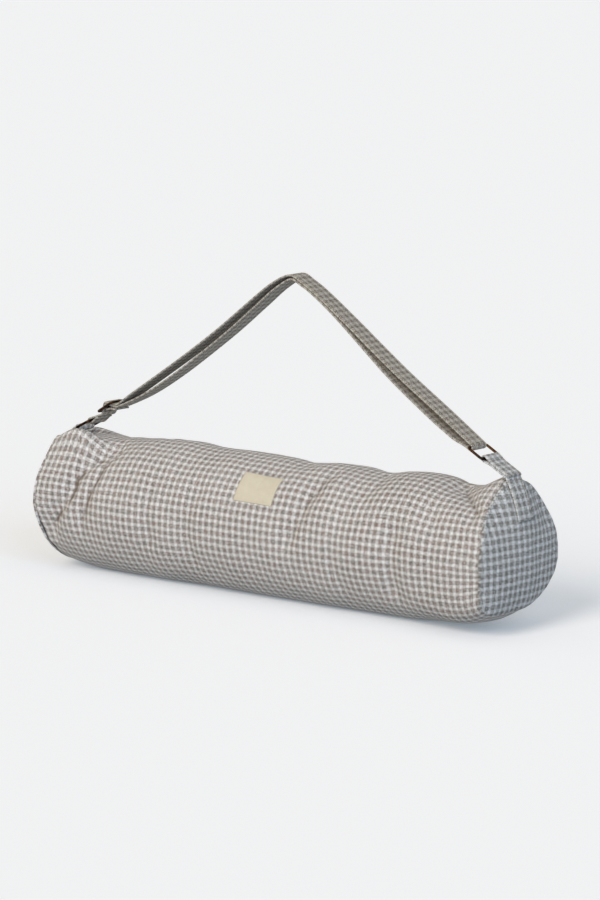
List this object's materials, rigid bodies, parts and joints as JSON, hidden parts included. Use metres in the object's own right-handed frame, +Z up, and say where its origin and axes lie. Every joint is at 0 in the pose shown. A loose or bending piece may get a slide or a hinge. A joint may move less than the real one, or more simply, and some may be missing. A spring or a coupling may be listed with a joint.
{
  "type": "yoga mat bag",
  "caption": "Long round cloth bag for a rolled mat, with domed ends, metal rings and a doubled shoulder strap raised in a peak.",
  "frame": {"origin": "on the floor under the middle of the whole outline", "axes": "+X along the bag towards the end with the visible ring, +Z up, -Y towards the label"},
  "size_m": [0.6784, 0.1484, 0.3699],
  "materials": {
    "check_cloth": "plain-woven cotton check, matte",
    "check_webbing": "folded and stitched cotton check, matte",
    "dark_metal": "dark antique, satin",
    "label_cloth": "plain cotton, matte"
  },
  "bodies": {
    "root": {"body_tube": "check_cloth", "end_panel_right": "check_cloth", "end_panel_left": "check_cloth", "tab_right": "check_webbing", "tab_left": "check_webbing", "ring_right": "dark_metal", "ring_left": "dark_metal", "slider": "dark_metal", "shoulder_strap": "check_webbing", "label_patch": "label_cloth"}
  },
  "joints": []
}
